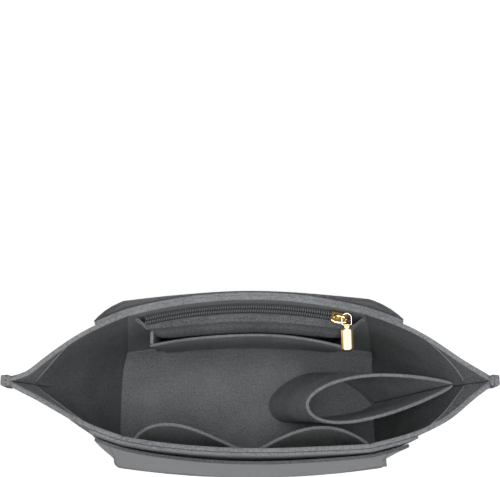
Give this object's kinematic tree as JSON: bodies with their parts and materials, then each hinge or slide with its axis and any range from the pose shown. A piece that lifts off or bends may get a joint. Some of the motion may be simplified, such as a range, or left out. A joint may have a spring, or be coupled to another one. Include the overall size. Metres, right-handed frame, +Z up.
{
  "type": "purse organizer insert",
  "caption": "Felt insert that stands in a tote bag: a flat floor, ends pinched at the rim, outer and inner slip pockets, a bottle holder and a zipped pouch along the back rim.",
  "frame": {"origin": "middle of the underside of the felt floor", "axes": "+X to the right along the bag, towards the bottle holder; +Y to the back wall with the zip; +Z up, out of the open top"},
  "size_m": [0.4359, 0.1635, 0.215],
  "materials": {
    "felt": "heathered grey needle-punched polyester felt, cut edges",
    "zip_tape": "woven charcoal polyester tape",
    "zip_nylon": "satin charcoal nylon coil",
    "gold_metal": "die-cast zinc, polished pale gold plating"
  },
  "bodies": {
    "root": {"base_panel": "felt", "front_wall_inner": "felt", "right_end_wall": "felt", "back_wall_inner": "felt", "left_end_wall": "felt", "front_wall_outer": "felt", "back_wall_outer": "felt", "front_outer_pocket": "felt", "back_outer_pocket": "felt", "left_end_tab": "felt", "right_end_tab": "felt", "front_slip_pocket_left": "felt", "front_slip_pocket_right": "felt", "pouch_front": "felt", "zip_facing": "felt", "slip_pocket_front": "felt", "slip_pocket_left_side": "felt", "slip_pocket_right_side": "felt", "bottle_holder": "felt", "zip_tape_front": "zip_tape", "zip_tape_back": "zip_tape", "zip_coil_front": "zip_nylon", "zip_coil_back": "zip_nylon", "top_stop_front": "zip_nylon", "top_stop_back": "zip_nylon", "bottom_stop": "zip_nylon"},
    "slider": {"zip_slider": "gold_metal"},
    "link": {"pull_link": "gold_metal"},
    "tab": {"pull_tab": "gold_metal"}
  },
  "joints": [
    {"name": "zip_run", "type": "hinge", "parent": "root", "child": "slider", "pos_m": [0, -0.34531, 0], "axis": [0, 0, 1], "range_deg": [0, 22.8]},
    {"name": "link_swing", "type": "hinge", "parent": "slider", "child": "link", "pos_m": [0.08833, 0.05832, 0.20648], "axis": [1, 0.01, 0], "range_deg": [-20, 0]},
    {"name": "tab_swing", "type": "hinge", "parent": "link", "child": "tab", "pos_m": [0.08839, 0.05214, 0.2055], "axis": [0.9981, 0.0616, 0.0082], "range_deg": [-150, 0]}
  ]
}
